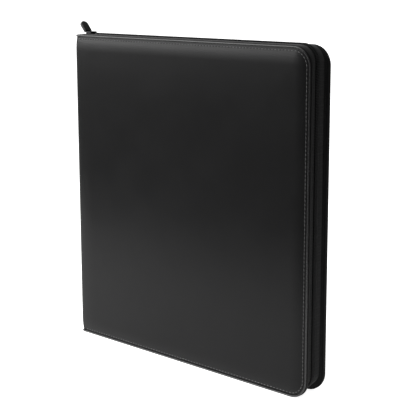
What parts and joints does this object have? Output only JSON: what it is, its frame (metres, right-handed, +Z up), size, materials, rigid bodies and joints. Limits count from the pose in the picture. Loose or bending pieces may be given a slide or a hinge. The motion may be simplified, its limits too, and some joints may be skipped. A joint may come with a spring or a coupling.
{
  "type": "trading card binder",
  "caption": "Zip-up binder with padded leather-look covers, soft spine, fixed pocket leaves for trading cards, and a zip slider with a leather pull tab.",
  "frame": {"origin": "on the ground under the centre of the standing binder's box, pull tab included", "axes": "+Z up the standing binder, +X from the spine to the zip side, -Y the way the front cover faces"},
  "size_m": [0.3316, 0.036, 0.3607],
  "materials": {
    "leather": "smooth satin black synthetic leather",
    "piping": "satin black folded leather edge",
    "foam": "soft grey foam sheet",
    "board": "grey-brown binder's board",
    "lining": "matte black fine-woven lining",
    "zip_tape": "black twill-woven zip tape",
    "zip_coil": "black nylon coil",
    "zip_metal": "black enamelled zinc",
    "page": "black polypropylene leaf with clear welded pockets"
  },
  "bodies": {
    "back_cover": {"back_cover_skin": "leather", "back_foam": "foam", "back_board": "board", "back_lining": "lining", "back_piping": "piping", "back_zip_tape": "zip_tape", "back_zip_coil": "zip_coil", "back_bottom_stop": "zip_metal"},
    "spine": {"spine_skin": "leather", "spine_board": "board", "spine_lining": "lining", "front_hinge_skin": "leather", "back_hinge_skin": "leather", "page_binding": "lining", "top_end_tab": "zip_tape", "bottom_end_tab": "zip_tape"},
    "front_cover": {"front_cover_skin": "leather", "front_foam": "foam", "front_board": "board", "front_lining": "lining", "front_piping": "piping", "front_zip_tape": "zip_tape", "front_zip_coil": "zip_coil", "front_bottom_stop": "zip_metal", "front_top_stop": "zip_metal"},
    "slider": {"slider_body": "zip_metal", "slider_bail": "zip_metal"},
    "pull": {"pull_tab": "leather"},
    "leaf_01": {"page_01": "page"},
    "leaf_02": {"page_02": "page"},
    "leaf_03": {"page_03": "page"},
    "leaf_04": {"page_04": "page"},
    "leaf_05": {"page_05": "page"},
    "leaf_06": {"page_06": "page"},
    "leaf_07": {"page_07": "page"},
    "leaf_08": {"page_08": "page"},
    "leaf_09": {"page_09": "page"},
    "leaf_10": {"page_10": "page"},
    "leaf_11": {"page_11": "page"},
    "leaf_12": {"page_12": "page"},
    "leaf_13": {"page_13": "page"},
    "leaf_14": {"page_14": "page"},
    "leaf_15": {"page_15": "page"},
    "leaf_16": {"page_16": "page"},
    "leaf_17": {"page_17": "page"},
    "leaf_18": {"page_18": "page"},
    "leaf_19": {"page_19": "page"},
    "leaf_20": {"page_20": "page"}
  },
  "joints": [
    {"name": "spine_fold", "type": "hinge", "parent": "back_cover", "child": "spine", "pos_m": [-0.15918, 0.01693, 0.173], "axis": [0, 0, -1], "range_deg": [0, 90]},
    {"name": "cover_fold", "type": "hinge", "parent": "spine", "child": "front_cover", "pos_m": [-0.15918, -0.01693, 0.173], "axis": [0, 0, -1], "range_deg": [0, 90]},
    {"name": "zip_slide", "type": "slide", "parent": "back_cover", "child": "slider", "axis": [1, 0, 0], "range_m": [0, 0.275]},
    {"name": "pull_swing", "type": "hinge", "parent": "slider", "child": "pull", "pos_m": [-0.15704, 0, 0.3507], "axis": [0, 1, 0], "range_deg": [-55, 62]},
    {"name": "leaf_01_turn", "type": "hinge", "parent": "spine", "child": "leaf_01", "pos_m": [-0.15374, -0.01083, 0.173], "axis": [0, 0, -1], "range_deg": [0, 66]},
    {"name": "leaf_02_turn", "type": "hinge", "parent": "spine", "child": "leaf_02", "pos_m": [-0.15374, -0.00969, 0.173], "axis": [0, 0, -1], "range_deg": [0, 59.05]},
    {"name": "leaf_03_turn", "type": "hinge", "parent": "spine", "child": "leaf_03", "pos_m": [-0.15374, -0.00855, 0.173], "axis": [0, 0, -1], "range_deg": [0, 52.11]},
    {"name": "leaf_04_turn", "type": "hinge", "parent": "spine", "child": "leaf_04", "pos_m": [-0.15374, -0.00741, 0.173], "axis": [0, 0, -1], "range_deg": [0, 45.16]},
    {"name": "leaf_05_turn", "type": "hinge", "parent": "spine", "child": "leaf_05", "pos_m": [-0.15374, -0.00627, 0.173], "axis": [0, 0, -1], "range_deg": [0, 38.21]},
    {"name": "leaf_06_turn", "type": "hinge", "parent": "spine", "child": "leaf_06", "pos_m": [-0.15374, -0.00513, 0.173], "axis": [0, 0, -1], "range_deg": [0, 31.26]},
    {"name": "leaf_07_turn", "type": "hinge", "parent": "spine", "child": "leaf_07", "pos_m": [-0.15374, -0.00399, 0.173], "axis": [0, 0, -1], "range_deg": [0, 24.32]},
    {"name": "leaf_08_turn", "type": "hinge", "parent": "spine", "child": "leaf_08", "pos_m": [-0.15374, -0.00285, 0.173], "axis": [0, 0, -1], "range_deg": [0, 17.37]},
    {"name": "leaf_09_turn", "type": "hinge", "parent": "spine", "child": "leaf_09", "pos_m": [-0.15374, -0.00171, 0.173], "axis": [0, 0, -1], "range_deg": [0, 10.42]},
    {"name": "leaf_10_turn", "type": "hinge", "parent": "spine", "child": "leaf_10", "pos_m": [-0.15374, -0.00057, 0.173], "axis": [0, 0, -1], "range_deg": [0, 3.47]},
    {"name": "leaf_11_turn", "type": "hinge", "parent": "spine", "child": "leaf_11", "pos_m": [-0.15374, 0.00057, 0.173], "axis": [0, 0, -1], "range_deg": [-3.47, 0]},
    {"name": "leaf_12_turn", "type": "hinge", "parent": "spine", "child": "leaf_12", "pos_m": [-0.15374, 0.00171, 0.173], "axis": [0, 0, -1], "range_deg": [-10.42, 0]},
    {"name": "leaf_13_turn", "type": "hinge", "parent": "spine", "child": "leaf_13", "pos_m": [-0.15374, 0.00285, 0.173], "axis": [0, 0, -1], "range_deg": [-17.37, 0]},
    {"name": "leaf_14_turn", "type": "hinge", "parent": "spine", "child": "leaf_14", "pos_m": [-0.15374, 0.00399, 0.173], "axis": [0, 0, -1], "range_deg": [-24.32, 0]},
    {"name": "leaf_15_turn", "type": "hinge", "parent": "spine", "child": "leaf_15", "pos_m": [-0.15374, 0.00513, 0.173], "axis": [0, 0, -1], "range_deg": [-31.26, 0]},
    {"name": "leaf_16_turn", "type": "hinge", "parent": "spine", "child": "leaf_16", "pos_m": [-0.15374, 0.00627, 0.173], "axis": [0, 0, -1], "range_deg": [-38.21, 0]},
    {"name": "leaf_17_turn", "type": "hinge", "parent": "spine", "child": "leaf_17", "pos_m": [-0.15374, 0.00741, 0.173], "axis": [0, 0, -1], "range_deg": [-45.16, 0]},
    {"name": "leaf_18_turn", "type": "hinge", "parent": "spine", "child": "leaf_18", "pos_m": [-0.15374, 0.00855, 0.173], "axis": [0, 0, -1], "range_deg": [-52.11, 0]},
    {"name": "leaf_19_turn", "type": "hinge", "parent": "spine", "child": "leaf_19", "pos_m": [-0.15374, 0.00969, 0.173], "axis": [0, 0, -1], "range_deg": [-59.05, 0]},
    {"name": "leaf_20_turn", "type": "hinge", "parent": "spine", "child": "leaf_20", "pos_m": [-0.15374, 0.01083, 0.173], "axis": [0, 0, -1], "range_deg": [-66, 0]}
  ],
  "couplings": [
    {"joint": "leaf_01_turn", "follows": "cover_fold", "ratio": 0.73333},
    {"joint": "leaf_02_turn", "follows": "cover_fold", "ratio": 0.65614},
    {"joint": "leaf_03_turn", "follows": "cover_fold", "ratio": 0.57895},
    {"joint": "leaf_04_turn", "follows": "cover_fold", "ratio": 0.50175},
    {"joint": "leaf_05_turn", "follows": "cover_fold", "ratio": 0.42456},
    {"joint": "leaf_06_turn", "follows": "cover_fold", "ratio": 0.34737},
    {"joint": "leaf_07_turn", "follows": "cover_fold", "ratio": 0.27018},
    {"joint": "leaf_08_turn", "follows": "cover_fold", "ratio": 0.19298},
    {"joint": "leaf_09_turn", "follows": "cover_fold", "ratio": 0.11579},
    {"joint": "leaf_10_turn", "follows": "cover_fold", "ratio": 0.0386},
    {"joint": "leaf_11_turn", "follows": "spine_fold", "ratio": -0.0386},
    {"joint": "leaf_12_turn", "follows": "spine_fold", "ratio": -0.11579},
    {"joint": "leaf_13_turn", "follows": "spine_fold", "ratio": -0.19298},
    {"joint": "leaf_14_turn", "follows": "spine_fold", "ratio": -0.27018},
    {"joint": "leaf_15_turn", "follows": "spine_fold", "ratio": -0.34737},
    {"joint": "leaf_16_turn", "follows": "spine_fold", "ratio": -0.42456},
    {"joint": "leaf_17_turn", "follows": "spine_fold", "ratio": -0.50175},
    {"joint": "leaf_18_turn", "follows": "spine_fold", "ratio": -0.57895},
    {"joint": "leaf_19_turn", "follows": "spine_fold", "ratio": -0.65614},
    {"joint": "leaf_20_turn", "follows": "spine_fold", "ratio": -0.73333}
  ]
}
